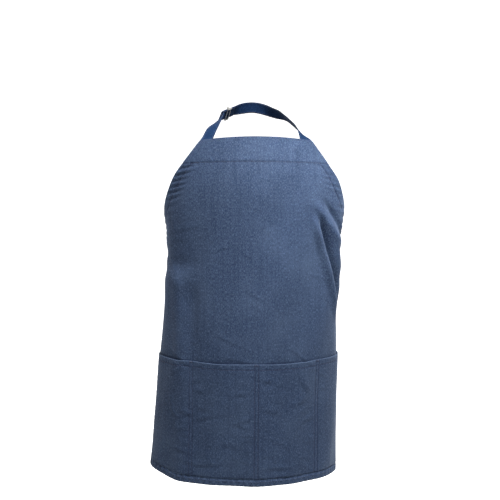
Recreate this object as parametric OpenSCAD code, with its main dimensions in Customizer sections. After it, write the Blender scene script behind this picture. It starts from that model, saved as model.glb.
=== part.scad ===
// Artist's bib apron with four pockets, shown at the shape that it takes when it is worn.
// Millimetres. +Z is up and the front faces -Y. The origin is the inner face of the neck strap at the nape.

/* [Cloth cut] */
// Width of the apron below the waist
apron_w = 610; // [560:10:660]
// Length from the bib's top edge to the hem
apron_l = 787; // [740:10:840]
// Width of the bib's top edge
bib_w = 254; // [230:2:280]
// Height from the bib's top edge down to the waist corners
armhole_drop = 267; // [240:1:290]
// How far the cut of the armholes bows outwards
armhole_bow = 12; // [0:1:14]
// Thickness of the cloth
cloth_t = 0.8; // [0.6:0.1:1]
// Depth of the bib's top hem
top_hem = 58; // [45:1:62]
// Width of the armhole hems
armhole_hem = 28; // [18:1:32]
// Width of the side hems
side_hem = 20; // [12:1:25]
// Depth of the bottom hem
bottom_hem_h = 13; // [10:1:16]

/* [Pockets] */
// Height of the pocket band
pocket_h = 280; // [250:1:285]
// How far a pocket stands open at its mouth
pocket_gap = 14; // [12:0.5:16]
// Depth of the hem along the pocket mouths
mouth_hem = 16; // [12:1:20]
// Width of the sewn strip between two pockets
divider_w = 12; // [10:1:14]

/* [Worn shape] */
// Half the width across the chest
chest_a = 205; // [195:1:215]
// Half the width across the waist
waist_a = 197; // [190:1:205]
// How far the hem flares out on the left
flare_left = 31; // [0:1:40]
// How far the hem flares out on the right
flare_right = 4; // [0:1:40]
// Height of the bib's top edge
bib_top_z = -60; // [-70:1:-50]
// Distance of the bib's top edge in front of the nape
bib_top_y = -168; // [-175:1:-160]
// Distance of the chest in front of the nape
chest_y = -195; // [-205:1:-190]
// Distance of the hem in front of the nape
hem_y = -207; // [-215:1:-200]

/* [Straps] */
// Width of the neck strap and of the waist ties
strap_w = 25; // [22:1:28]
// Thickness of the straps
strap_t = 1; // [0.8:0.1:1.2]
// Length of a bow tail below the knot
tail_l = 330; // [260:10:400]

/* [Hidden] */

half_w = apron_w / 2;
bib_half = bib_w / 2;
// Number of pockets across the band
pocket_count = 4;
// Distance down the front where the chest stands out furthest
chest_v = 150;
// Distance down the front where the bib body ends and the skirt body begins
split_v = armhole_drop + 33;
pocket_v = apron_l - pocket_h;
pocket_w = apron_w / pocket_count;
tie_v = armhole_drop + 4;
// Clear space between two layers of cloth
gap = 0.25;
// Clear space at the line where two bodies meet
joint_gap = 0.3;
// Distance behind the nape of the oval's widest line, at the chest and at the hem
side_y_chest = -77;
side_y_hem = -55;
// Drop of the bib's top corners below the middle of its top edge, and how far down the front it fades out
corner_sag = 10;
sag_v = 100;
thread_w = 0.9;
thread_t = 0.4;
// Distance of a hem's row of stitches from the hem's inner fold
stitch_inset = 3;
// Extra lift of the rows of stitches along the slanting and upright edges
edge_lift = 0.25;
// Half the distance between the two rows of stitches on a pocket divider
row_offset = 4;
denim = [0.23, 0.31, 0.42];
thread_blue = [0.14, 0.19, 0.29];
metal = [0.55, 0.55, 0.53];

// ---- Worn shape: the cloth coordinates are u across from the centre line and v down from the top edge ----

function mix(a, b, t) = a + (b - a) * t;
function ramp(x, a, b) = max(0, min(1, (x - a) / (b - a)));
function ease(x, a, b) = let (t = ramp(x, a, b)) t * t * (3 - 2 * t);
function unit(p) = p / norm(p);

function front_y(v) = chest_y
    + (bib_top_y - chest_y) * pow(1 - ramp(v, 0, chest_v), 2)
    + (hem_y - chest_y) * ease(v, chest_v, apron_l);
function side_y(v) = mix(side_y_chest, side_y_hem, ease(v, armhole_drop, apron_l));
function side_a(v, flare) = chest_a
    + (waist_a - chest_a) * ease(v, chest_v, armhole_drop)
    + flare * pow(ramp(v, split_v, apron_l), 1.5);
function edge_u(v) = let (t = ramp(v, 0, armhole_drop)) mix(bib_half, half_w, t)
    + armhole_bow * sin(180 * pow(t, 0.7));

// A point of a four-centred oval at arc length s from its front: a is half its width, b half its depth
function oval(s, a, b) = let (
        r2 = 0.55 * b,
        r1 = (pow(a - r2, 2) + b * b - r2 * r2) / (2 * (b - r2)),
        turn = atan2(a - r2, r1 - b),
        front_arc = r1 * turn * PI / 180,
        quarter = front_arc + r2 * (90 - turn) * PI / 180,
        t = s > quarter ? 2 * quarter - s : s,
        angle = t < front_arc ? t / r1 * 180 / PI : turn + (t - front_arc) / r2 * 180 / PI,
        x = t < front_arc ? r1 * sin(angle) : a - r2 + r2 * sin(angle),
        y = t < front_arc ? r1 - b - r1 * cos(angle) : -r2 * cos(angle)
    ) s > quarter ? [x, -y, sin(angle), cos(angle)] : [x, y, sin(angle), -cos(angle)];

// A point of the worn cloth, n outside its inner face
function place(u, v, n) = let (
        side = u < 0 ? -1 : 1,
        cy = side_y(v),
        q = oval(abs(u), side_a(v, u < 0 ? flare_left : flare_right), cy - front_y(v)),
        sag = corner_sag * pow(u / bib_half, 2) * (1 - ease(v, 0, sag_v))
    ) [side * (q[0] + n * q[2]), cy + q[1] + n * q[3], bib_top_z - v - sag];

// ---- Closed solids from two grids of points ----

module slab(outer, inner) {
    nv = len(outer) - 1;
    nu = len(outer[0]) - 1;
    base = (nu + 1) * (nv + 1);
    function o(i, j) = j * (nu + 1) + i;
    function n(i, j) = base + o(i, j);
    function quad(a, b, c, d) = [[a, b, c], [a, c, d]];
    skin = [for (j = [0:nv - 1], i = [0:nu - 1]) each concat(
        quad(o(i, j), o(i + 1, j), o(i + 1, j + 1), o(i, j + 1)),
        quad(n(i, j), n(i, j + 1), n(i + 1, j + 1), n(i + 1, j)))];
    ends = [for (i = [0:nu - 1]) each concat(
        quad(o(i + 1, 0), o(i, 0), n(i, 0), n(i + 1, 0)),
        quad(o(i, nv), o(i + 1, nv), n(i + 1, nv), n(i, nv)))];
    sides = [for (j = [0:nv - 1]) each concat(
        quad(o(nu, j + 1), o(nu, j), n(nu, j), n(nu, j + 1)),
        quad(o(0, j), o(0, j + 1), n(0, j + 1), n(0, j)))];
    polyhedron(points = concat([for (row = outer) each row], [for (row = inner) each row]),
        faces = concat(skin, ends, sides));
}

// Rows at the distances vs, across the places that at(v) lists, from n0 to n1 outside the cloth's inner face
module cloth(vs, at, n0, n1) {
    function rows(n) = [for (v = vs) [for (u = at(v)) place(u, v, n)]];
    slab(rows(n1), rows(n0));
}

function steps(a, b, n) = [for (i = [0:n]) mix(a, b, i / n)];
function trim(list, skip) = [for (i = [skip:len(list) - 1 - skip]) list[i]];
function but_last(list) = [for (i = [0:len(list) - 2]) list[i]];

// The cloth's columns at v: two strips over each side hem, and nu even ones between the hems.
// Each hem has the columns of the cloth above it, so that both bend alike.
function columns(v, hem, nu) = let (
        edge = edge_u(v),
        free = edge - hem
    ) concat([-edge, hem / 2 - edge], steps(-free, free, nu), [edge - hem / 2, edge]);
bib_columns = function (v) columns(v, armhole_hem, 24);
skirt_columns = function (v) columns(v, side_hem, 34);
function outer_three(list, side) = let (
        first = side < 0 ? 0 : len(list) - 3
    ) [for (i = [0:2]) list[first + i]];

// A row of stitches along the left or right edge of the cloth
module edge_thread(side, vs, inset) {
    lo = side < 0 ? inset : -inset - thread_w;
    cloth(vs, function (v) [side * edge_u(v) + lo, side * edge_u(v) + lo + thread_w],
        thread_n0 + edge_lift, thread_n1 + edge_lift);
}

// ---- Ribbons along smooth routes ----

function catmull(p, i, t) = let (
        a = p[max(i - 1, 0)],
        b = p[i],
        c = p[i + 1],
        d = p[min(i + 2, len(p) - 1)]
    ) 0.5 * (2 * b + (c - a) * t + (2 * a - 5 * b + 4 * c - d) * t * t + (3 * b - a - 3 * c + d) * t * t * t);
function smooth(p, n) = concat([for (i = [0:len(p) - 2], k = [0:n - 1]) catmull(p, i, k / n)],
    [p[len(p) - 1]]);

// A flat ribbon whose inner face follows the route; outward lists the direction that it faces at each point.
// first_across is the direction of its cut first end, where that is not square to the route.
module ribbon(route, outward, n, w, t, first_across = undef) {
    c = smooth(route, n);
    f = smooth(outward, n);
    last = len(c) - 1;
    frame = [for (i = [0:last]) let (
            d = unit(c[min(i + 1, last)] - c[max(i - 1, 0)]),
            m = unit(f[i] - (f[i] * d) * d),
            square = cross(m, d),
            across = is_undef(first_across) || i > n ? square : unit(mix(first_across, square, i / n))
        ) [across, m]];
    outer = [for (i = [0:last]) [for (k = [-1, 1]) c[i] + k * w / 2 * frame[i][0] + t * frame[i][1]]];
    inner = [for (i = [0:last]) [for (k = [-1, 1]) c[i] + k * w / 2 * frame[i][0]]];
    slab(outer, inner);
}

// ---- Main cloth ----

top_rows = steps(0, top_hem, 5);
armhole_rows = steps(top_hem, armhole_drop, 10);
waist_rows = steps(split_v + joint_gap, pocket_v, 8);
pocket_side_rows = steps(pocket_v, apron_l - bottom_hem_h, 13);
skirt_rows = concat(but_last(waist_rows), pocket_side_rows, [apron_l]);

module bib_panel() {
    rows = concat(but_last(top_rows), armhole_rows, [split_v - joint_gap]);
    color(denim) cloth(rows, bib_columns, 0, cloth_t);
}

module skirt_panel() {
    color(denim) cloth(skirt_rows, skirt_columns, 0, cloth_t);
}

// ---- Hems, folded to the back: two layers of cloth taken as one strip ----

hem_n0 = -gap - 1.2;
hem_n1 = -gap;
thread_n0 = cloth_t + 0.1;
thread_n1 = thread_n0 + thread_t;

module bib_top_hem() {
    color(denim) cloth(top_rows, bib_columns, hem_n0, hem_n1);
}

module armhole_hem(side) {
    color(denim) cloth(armhole_rows, function (v) outer_three(bib_columns(v), side), hem_n0, hem_n1);
}

module side_hem_strip(side) {
    color(denim) cloth(skirt_rows, function (v) outer_three(skirt_columns(v), side), hem_n0, hem_n1);
}

module bottom_hem() {
    color(denim) cloth([apron_l - bottom_hem_h, apron_l], function (v) trim(skirt_columns(v), 2),
        hem_n0, hem_n1);
}

// ---- Pocket band: pocket k of pocket_count, counted from the left, with its mouth hem ----

function pocket_lo(k) = -half_w + k * pocket_w + (k == 0 ? side_hem : divider_w / 2) + joint_gap;
function pocket_hi(k) = -half_w + (k + 1) * pocket_w
    - (k == pocket_count - 1 ? side_hem : divider_w / 2) - joint_gap;
band_n = cloth_t + gap;
pocket_bottom_v = apron_l - bottom_hem_h - 3;

function bulge(k, u, v) = let (
        s = ramp(u, pocket_lo(k), pocket_hi(k)),
        t = ramp(v, pocket_v, pocket_bottom_v)
    ) pocket_gap * pow(sin(180 * s), 0.7) * (1 - t * t * t);

pocket_rows = concat([pocket_v, pocket_v + mouth_hem], steps(pocket_v + 2 * mouth_hem, pocket_bottom_v, 10));
pocket_strips = 12;

// Pocket k's cloth at the rows vs, without its outer skip columns
module pocket_layer(k, vs, skip, n0, n1) {
    us = trim(steps(pocket_lo(k), pocket_hi(k), pocket_strips), skip);
    function rows(n) = [for (v = vs) [for (u = us) place(u, v, n + bulge(k, u, v))]];
    slab(rows(n1), rows(n0));
}

module pocket_front(k) {
    color(denim) pocket_layer(k, pocket_rows, 0, band_n, band_n + cloth_t);
}

module mouth_hem_strip(k) {
    color(denim) pocket_layer(k, [pocket_v, pocket_v + mouth_hem], 1, band_n - 1, band_n - gap);
}

module mouth_stitch(k) {
    v = pocket_v + mouth_hem - stitch_inset;
    n0 = band_n + thread_n0;
    color(thread_blue) pocket_layer(k, [v - thread_w, v], 0, n0, n0 + thread_t);
}

// A sewn strip of the band that lies flat on the skirt
module band_strip(u0, u1) {
    rows = steps(pocket_v, pocket_bottom_v, 12);
    color(denim) cloth(rows, function (v) steps(u0, u1, 2), band_n, band_n + cloth_t);
}

module divider(k) {
    u = -half_w + k * pocket_w;
    band_strip(u - divider_w / 2, u + divider_w / 2);
}

module pocket_edge_left() {
    band_strip(-half_w + 0.5, -half_w + side_hem);
}

module pocket_edge_right() {
    band_strip(half_w - side_hem, half_w - 0.5);
}

// ---- Stitching, each row taken as one fine strip ----

module divider_stitching() {
    n0 = band_n + thread_n0;
    color(thread_blue) for (k = [1:pocket_count - 1], row = [-row_offset, row_offset]) {
        u = -half_w + k * pocket_w + row;
        cloth(steps(pocket_v + 2, pocket_bottom_v - 2, 12), function (v) [u - thread_w / 2, u + thread_w / 2],
            n0, n0 + thread_t);
    }
}

module bib_hem_stitching() {
    v = top_hem - stitch_inset;
    color(thread_blue) cloth([v - thread_w, v], function (v) trim(bib_columns(v), 2), thread_n0, thread_n1);
}

module armhole_stitching(side) {
    color(thread_blue) edge_thread(side, armhole_rows, armhole_hem - stitch_inset);
}

module side_stitching(side) {
    color(thread_blue) edge_thread(side, waist_rows, side_hem - stitch_inset);
}

module hem_stitching() {
    v = apron_l - bottom_hem_h + stitch_inset;
    color(thread_blue) cloth([v, v + thread_w], skirt_columns, thread_n0, thread_n1);
}

module pocket_bartacks() {
    n0 = band_n + thread_n0 + thread_t + 0.1;
    color(thread_blue) for (k = [1:pocket_count - 1]) {
        u = -half_w + k * pocket_w;
        cloth([pocket_v + 1, pocket_v + 4], function (v) steps(u - row_offset, u + row_offset, 2),
            n0, n0 + 0.5);
    }
}

// ---- Sewn ends of the straps, behind the hems ----

end_n1 = hem_n0 - gap - 0.1;
end_n0 = end_n1 - strap_t;

// A strap's end lies along the armhole, so it is wider across than the strap
strap_end_w = 30;

module strap_end(side) {
    from_edge = side < 0 ? 1 : -1 - strap_end_w;
    color(denim) cloth(steps(3, top_hem - 6, 3),
        function (v) steps(side * edge_u(v) + from_edge, side * edge_u(v) + from_edge + strap_end_w, 3),
        end_n0, end_n1);
}

module tie_end(side) {
    reach = 30;
    inset = 2;
    lo = side < 0 ? inset - half_w : half_w - inset - reach;
    color(denim) cloth([tie_v, tie_v + strap_w], function (v) steps(lo, lo + reach, 4), end_n0, end_n1);
}

// ---- Neck strap: the route is its inner face, from a bib corner to the nape ----

neck_route = [[111, -147, -62], [98, -124, -48], [83, -94, -32], [74, -66, -22]];
neck_outward = [[0.2, -0.95, 0.25], [0.35, -0.8, 0.5], [0.6, -0.35, 0.7], [0.75, 0.1, 0.65]];
nape_route = [[66, -50, -17], [57, -38, -14], [48, -26, -11], [32, -10, -5], [16, -2, -1], [0, 0, 0]];
nape_outward = [[0.78, 0.35, 0.5], [0.8, 0.5, 0.35], [0.75, 0.6, 0.25],
    [0.45, 0.9, 0.1], [0.2, 1, 0], [0, 1, 0]];
// The middle of the straight stretch that carries the slider, on the left, and its two ends
slide_from = [-66, -50, -17];
slide_to = [-48, -26, -11];
slide_mid = (slide_from + slide_to) / 2;
slide_dir = unit(slide_to - slide_from);
slide_out = let (f = [-0.79, 0.45, 0.4]) unit(f - (f * slide_dir) * slide_dir);
// How far the straight stretch runs each way from its middle, and how far its ends are held in line
slide_reach = 30;
slide_hold = 22;
tail_reach = 24;

function flip(p) = [-p[0], p[1], p[2]];
function flip_all(list) = [for (p = list) flip(p)];

// The bib's top edge at one of its corners, from right to left
function corner_across(side) = unit(place(side * (bib_half - strap_w / 2) - strap_w / 2, 0, 0)
    - place(side * (bib_half - strap_w / 2) + strap_w / 2, 0, 0));

// The short strap comes up from the left corner and ends in the slider
module neck_strap_left() {
    route = concat(flip_all(neck_route),
        [for (k = [-slide_reach, -slide_hold, 0, slide_hold, slide_reach]) slide_mid + k * slide_dir]);
    outward = concat(flip_all(neck_outward), [for (k = [0:4]) slide_out]);
    color(denim) ribbon(route, outward, 4, strap_w, strap_t, corner_across(-1));
}

// The long strap goes from the right corner round the nape and doubles over the short one
module neck_strap_right() {
    lift = (strap_t + 0.4) * slide_out;
    route = concat(neck_route, nape_route, [[-17, -2, -2]],
        [for (k = [slide_reach, slide_hold, 0, -tail_reach]) slide_mid + k * slide_dir + lift]);
    outward = concat(neck_outward, nape_outward, [[-0.25, 1, 0.1]], [for (k = [0:3]) slide_out]);
    color(denim) ribbon(route, outward, 4, strap_w, strap_t, corner_across(1));
}

// ---- Slider: a flat frame with two bars under the strap and one over it ----

slider_l = 17;
bar_r = 1.1;
rail_t = 2;

module slider_rail(y) {
    layers = 2 * strap_t + 0.4;
    low = -gap - bar_r;
    high = layers + gap + bar_r;
    translate([0, y + rail_t / 2, 0]) rotate([90, 0, 0]) linear_extrude(rail_t) {
        for (x = [-1, 1]) translate([x * (slider_l / 2 - 2), low]) circle(r = 2, $fn = 32);
        translate([0, high]) circle(r = 2, $fn = 32);
        translate([-slider_l / 2 + 2, low - 2]) square([slider_l - 4, 4]);
        translate([-3.5, low]) square([7, high - low]);
    }
}

module slider_bar(x, z) {
    translate([x, 0, z]) rotate([90, 0, 0])
        cylinder(r = bar_r, h = strap_w + 2 * rail_t + 1, center = true, $fn = 32);
}

module neck_slider() {
    across = cross(slide_out, slide_dir);
    layers = 2 * strap_t + 0.4;
    rail_y = strap_w / 2 + 0.5 + rail_t / 2;
    color(metal) multmatrix([[slide_dir[0], across[0], slide_out[0], slide_mid[0]],
        [slide_dir[1], across[1], slide_out[1], slide_mid[1]],
        [slide_dir[2], across[2], slide_out[2], slide_mid[2]],
        [0, 0, 0, 1]]) union() {
        slider_rail(-rail_y);
        slider_rail(rail_y);
        slider_bar(-slider_l / 2 + 2, -gap - bar_r);
        slider_bar(slider_l / 2 - 2, -gap - bar_r);
        slider_bar(0, layers + gap + bar_r);
    }
}

// ---- Waist ties, tied in a bow behind the back ----

knot_z = bib_top_z - tie_v - strap_w / 2;
knot_y = 50;
knot_l = 30;
knot_r = 11;
// Distance along the waist from the front centre line to the knot
tie_reach = 480;
tie_start_gap = 5;

module waist_tie(side) {
    start = half_w + tie_start_gap;
    lo = side < 0 ? -tie_reach : start;
    hi = side < 0 ? -start : tie_reach;
    color(denim) cloth([tie_v, tie_v + strap_w], function (v) steps(lo, hi, 24), -strap_t - 0.2, -0.2);
}

module bow_knot() {
    color(denim) translate([0, knot_y, knot_z]) rotate([0, 90, 0]) rotate_extrude($fn = 48) union() {
        translate([0, -knot_l / 2 + 3]) square([knot_r, knot_l - 6]);
        translate([0, -knot_l / 2]) square([knot_r - 3, knot_l]);
        for (z = [-1, 1]) translate([knot_r - 3, z * (knot_l / 2 - 3)]) circle(r = 3, $fn = 24);
    }
}

function at_knot(p) = [p[0], p[1], knot_z + p[2]];

loop_route = [[19, 58, -2], [50, 64, -6], [84, 66, -14], [102, 60, -19],
    [88, 53, -17], [52, 50, -9], [19, 49, -3]];
loop_outward = [[0, 1, 0], [0, 1, 0], [0.4, 1, 0], [1, 0, 0],
    [0.2, -1, 0], [0, -1, 0], [0, -1, 0]];

module bow_loop_right() {
    color(denim) ribbon([for (p = loop_route) at_knot(p)], loop_outward, 4, strap_w, strap_t);
}

module bow_loop_left() {
    color(denim) mirror([1, 0, 0]) bow_loop_right();
}

// Distance of each tail's inner face behind the nape, clear of the ties and the loops, and how far to the
// side its end hangs
tail_left_y = 43.6;
tail_left_lean = 10;
tail_right_y = 45.8;
tail_right_lean = 22;

module bow_tail(side, y, lean) {
    route = [at_knot([side * 4, y, -17]), at_knot([side * 12, y, -70]),
        at_knot([side * (12 + lean / 2), y, -180]), at_knot([side * (12 + lean), y, -17 - tail_l])];
    outward = [for (p = route) [0, 1, 0]];
    color(denim) ribbon(route, outward, 5, strap_w, strap_t);
}

bib_panel();
skirt_panel();
bib_top_hem();
armhole_hem(-1);  // armhole_hem_left
armhole_hem(1);  // armhole_hem_right
side_hem_strip(-1);  // side_hem_left
side_hem_strip(1);  // side_hem_right
bottom_hem();
pocket_front(0);  // pocket_outer_left
pocket_front(1);  // pocket_inner_left
pocket_front(2);  // pocket_inner_right
pocket_front(3);  // pocket_outer_right
mouth_hem_strip(0);  // mouth_hem_outer_left
mouth_hem_strip(1);  // mouth_hem_inner_left
mouth_hem_strip(2);  // mouth_hem_inner_right
mouth_hem_strip(3);  // mouth_hem_outer_right
mouth_stitch(0);  // mouth_stitch_outer_left
mouth_stitch(1);  // mouth_stitch_inner_left
mouth_stitch(2);  // mouth_stitch_inner_right
mouth_stitch(3);  // mouth_stitch_outer_right
divider(1);  // divider_left
divider(2);  // divider_centre
divider(3);  // divider_right
pocket_edge_left();
pocket_edge_right();
divider_stitching();
bib_hem_stitching();
armhole_stitching(-1);  // armhole_stitching_left
armhole_stitching(1);  // armhole_stitching_right
side_stitching(-1);  // side_stitching_left
side_stitching(1);  // side_stitching_right
hem_stitching();
pocket_bartacks();
strap_end(-1);  // strap_end_left
strap_end(1);  // strap_end_right
tie_end(-1);  // tie_end_left
tie_end(1);  // tie_end_right
neck_strap_left();
neck_strap_right();
neck_slider();
waist_tie(-1);  // waist_tie_left
waist_tie(1);  // waist_tie_right
bow_knot();
bow_loop_left();
bow_loop_right();
bow_tail(-1, tail_left_y, tail_left_lean);  // bow_tail_left
bow_tail(1, tail_right_y, tail_right_lean);  // bow_tail_right
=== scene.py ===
import math

import bpy
import numpy as np
from mathutils import Matrix, Vector


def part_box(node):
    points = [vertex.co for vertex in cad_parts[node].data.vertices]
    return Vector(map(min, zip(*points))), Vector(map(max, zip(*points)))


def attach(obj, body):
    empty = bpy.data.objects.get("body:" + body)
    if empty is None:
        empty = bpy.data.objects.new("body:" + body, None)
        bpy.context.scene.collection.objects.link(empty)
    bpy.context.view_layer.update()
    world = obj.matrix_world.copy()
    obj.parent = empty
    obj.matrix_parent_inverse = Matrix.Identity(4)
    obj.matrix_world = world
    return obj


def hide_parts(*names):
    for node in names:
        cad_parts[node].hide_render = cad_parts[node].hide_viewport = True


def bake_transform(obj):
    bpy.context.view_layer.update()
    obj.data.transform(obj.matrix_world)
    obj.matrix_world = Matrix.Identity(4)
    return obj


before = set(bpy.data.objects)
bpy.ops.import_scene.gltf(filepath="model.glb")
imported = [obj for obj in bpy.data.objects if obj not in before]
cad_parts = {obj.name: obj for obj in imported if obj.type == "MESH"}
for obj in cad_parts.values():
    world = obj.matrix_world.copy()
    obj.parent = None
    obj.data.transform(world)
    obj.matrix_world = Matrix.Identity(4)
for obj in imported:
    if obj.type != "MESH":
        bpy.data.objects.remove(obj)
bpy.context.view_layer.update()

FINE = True

# ---- Driving sizes, in metres ----
# u runs across the cloth from its centre line, and v down it from the bib's top edge

bib_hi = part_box("bib_panel")[1]
skirt_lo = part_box("skirt_panel")[0]
TOP_Z = bib_hi.z
LENGTH = TOP_Z - skirt_lo.z
HALF_W = 0.305
BIB_HALF = 0.127
ARMHOLE_DROP = 0.267
ARMHOLE_BOW = 0.012
TOP_HEM = 0.058
ARMHOLE_HEM = 0.028
SIDE_HEM = 0.020
BOTTOM_HEM = 0.013
CLOTH_T = 0.0009
HEM_T = 0.0013
POCKET_H = 0.280
POCKET_V = LENGTH - POCKET_H
POCKET_W = HALF_W / 2
POCKET_BOTTOM = LENGTH - BOTTOM_HEM - 0.003
MOUTH_HEM = 0.016
DIVIDER_W = 0.012
DIVIDERS = (-POCKET_W, 0.0, POCKET_W)
# Rows of stitches: inside a hem's fold, below a pocket's mouth, above the bottom edge, and beside a divider
ROW_INSET = 0.003
MOUTH_ROW = POCKET_V + 0.013
HEM_ROW = LENGTH - 0.010
ROW_OFFSET = 0.004
DIVIDER_ROWS = [middle + row for middle in DIVIDERS for row in (-ROW_OFFSET, ROW_OFFSET)]
END_ROWS = (-HALF_W + ROW_INSET, HALF_W - ROW_INSET)
TIE_V = ARMHOLE_DROP + 0.004
STRAP_W = 0.025
STRAP_T = 0.0010
SPLIT_V = ARMHOLE_DROP + 0.033

# The worn shape: half widths and the front's place at the chest, the waist and the hem
CHEST_A = 0.205
WAIST_A = 0.197
FLARE = (0.041, 0.008)
CHEST_V = 0.150
TOP_Y = -0.168
CHEST_Y = -0.195
HEM_Y = -0.207
SIDE_Y = (-0.077, -0.055)
CORNER_SAG = 0.010
SAG_V = 0.100


def ramp(x, a, b):
    """0 up to a, 1 from b on, and straight between."""
    return np.clip((x - a) / (b - a), 0.0, 1.0)


def ease(x, a, b):
    """As ramp, with a smooth start and end."""
    t = ramp(x, a, b)
    return t * t * (3 - 2 * t)


def bump(x, middle, width):
    """A rounded hump of height 1."""
    return np.exp(-((x - middle) / width) ** 2)


def edge_u(v):
    """Half the cloth's width at a distance down the front; the armholes are cut to a slight bow."""
    r = ramp(v, 0, ARMHOLE_DROP)
    return BIB_HALF + (HALF_W - BIB_HALF) * r + ARMHOLE_BOW * np.sin(np.pi * r ** 0.7)


def oval(s, a, b):
    """Points and outward directions of a four-centred oval at arc length s from its front."""
    r2 = 0.55 * b
    r1 = ((a - r2) ** 2 + b * b - r2 * r2) / (2 * (b - r2))
    turn = np.arctan2(a - r2, r1 - b)
    quarter = r1 * turn + r2 * (np.pi / 2 - turn)
    behind = s > quarter
    t = np.where(behind, 2 * quarter - s, s)
    on_front = t < r1 * turn
    angle = np.where(on_front, t / r1, turn + (t - r1 * turn) / r2)
    x = np.where(on_front, r1 * np.sin(angle), a - r2 + r2 * np.sin(angle))
    y = np.where(on_front, r1 - b - r1 * np.cos(angle), -r2 * np.cos(angle))
    return x, np.where(behind, -y, y), np.sin(angle), np.where(behind, 1, -1) * np.cos(angle)


def worn(u, v):
    """The smooth worn shape: points and level outward directions."""
    v = np.asarray(v, float)
    front = CHEST_Y + (TOP_Y - CHEST_Y) * (1 - ramp(v, 0, CHEST_V)) ** 2
    front += (HEM_Y - CHEST_Y) * ease(v, CHEST_V, LENGTH)
    middle = SIDE_Y[0] + (SIDE_Y[1] - SIDE_Y[0]) * ease(v, ARMHOLE_DROP, LENGTH)
    flare = np.where(u < 0, FLARE[0], FLARE[1]) * ramp(v, SPLIT_V, LENGTH) ** 1.5
    a = CHEST_A + (WAIST_A - CHEST_A) * ease(v, CHEST_V, ARMHOLE_DROP) + flare
    x, y, nx, ny = oval(np.abs(u), a, middle - front)
    side = np.where(u < 0, -1.0, 1.0)
    sag = CORNER_SAG * (u / BIB_HALF) ** 2 * (1 - ease(v, 0, SAG_V))
    point = np.stack([side * x, middle + y, TOP_Z - v - sag], -1)
    return point, np.stack([side * nx, ny, np.zeros_like(nx)], -1)


# ---- Drape: how far the cloth stands off the smooth shape ----

rng = np.random.default_rng(11)
RIPPLES = [(rng.uniform(0.05, 0.16), rng.uniform(0, 2 * np.pi), rng.uniform(0, 2 * np.pi)) for _ in range(14)]


def ripple(u, v, size):
    """Soft irregular waves in all directions."""
    total = np.zeros(np.broadcast(u, v).shape)
    for wave, heading, phase in RIPPLES:
        along = u * np.cos(heading) + 0.55 * v * np.sin(heading)
        total += np.sin(2 * np.pi * along / wave + phase)
    return size * total / len(RIPPLES) ** 0.5


def drag_folds(u, v):
    """The folds from the chest down to the side, on the right, and the dimple and ridge on the left."""
    centre = 0.156 + 0.37 * (v - 0.190)
    x = u - centre
    shown = ease(v, 0.170, 0.225) * (1 - ease(v, 0.340, 0.450))
    ridges = 0.0090 * bump(x, -0.017, 0.011) + 0.0060 * bump(x, 0.024, 0.013)
    d = shown * (ridges - 0.0135 * bump(x, 0, 0.0070))
    upper = u - (0.150 + 0.78 * (v - 0.162))
    shown = ease(v, 0.135, 0.175) * (1 - ease(v, 0.225, 0.262))
    d += shown * (0.0050 * bump(upper, 0, 0.013) - 0.0060 * bump(upper, 0.030, 0.010))
    d -= 0.0040 * bump(u, -0.205, 0.050) * bump(v, 0.288, 0.020)
    d += 0.0030 * bump(u, -0.205, 0.045) * bump(v, 0.325, 0.024)
    d += 0.0050 * bump(u, -0.190, 0.018) * ease(v, 0.30, 0.35) * (1 - ease(v, 0.46, 0.58))
    d -= 0.0030 * bump(u, -0.152, 0.016) * ease(v, 0.32, 0.38) * (1 - ease(v, 0.46, 0.58))
    d += 0.0045 * ease(u, 0.13, 0.21) * ease(v, 0.05, 0.11) * (1 - ease(v, 0.24, 0.34))
    return d


def corner_pulls(u, v):
    """Fine folds that fan out from the waist corners, where the ties pull."""
    du = HALF_W - np.abs(u)
    dv = v - (TIE_V + STRAP_W / 2)
    reach = np.hypot(du, dv)
    angle = np.arctan2(dv, du)
    fan = np.sin(9 * angle + np.where(u < 0, 0.6, 0))
    return 0.0030 * fan * np.exp(-reach / 0.065) * ease(reach, 0.01, 0.035)


def hang(u, v):
    """Slow upright folds of the free skirt, and shallow drag lines across the bib."""
    below = ease(v, 0.30, 0.70)
    d = 0.0018 * np.sin(2 * np.pi * u / 0.175 + 0.9) + 0.0012 * np.sin(2 * np.pi * u / 0.094 - 0.6 + 3 * v)
    edge = ease(np.abs(u), 0.235, 0.305)
    d = below * (d + 0.006 * edge * np.sin(2 * np.pi * (v - 0.32) / 0.62))
    d += 0.0022 * np.sin(2 * np.pi * (u + 0.35 * v) / 0.14) * ease(v, 0.06, 0.14) * (1 - below)
    for u0, v0, tilt, wide, deep, narrow in CREASES:
        along = (u - u0) * math.cos(tilt) + (v - v0) * math.sin(tilt)
        over = (v - v0) * math.cos(tilt) - (u - u0) * math.sin(tilt)
        fold = bump(over, 0, narrow) - 0.7 * bump(over, 2 * narrow, 1.3 * narrow)
        d += deep * bump(along, 0, wide) * fold
    return d


# Soft creases that a worn apron keeps: place, slope, half length, height and half width
CREASES = [(rng.uniform(-0.22, 0.22), rng.uniform(0.20, 0.74), rng.uniform(-0.5, 0.5) + (k % 3) * 0.5,
            rng.uniform(0.02, 0.05), rng.uniform(0.0003, 0.0007), 0.0038) for k in range(26)]
# Short puckers beside the rows of stitches that hold the pocket band
for k in range(27):
    beside = (k % 3 - 1) * POCKET_W + rng.choice((-1, 1)) * rng.uniform(0.012, 0.034)
    CREASES.append((beside, rng.uniform(POCKET_V + 0.03, POCKET_BOTTOM - 0.01), rng.uniform(-0.6, 0.6),
                    rng.uniform(0.010, 0.020), rng.uniform(0.0003, 0.0008), 0.0044))
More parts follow.
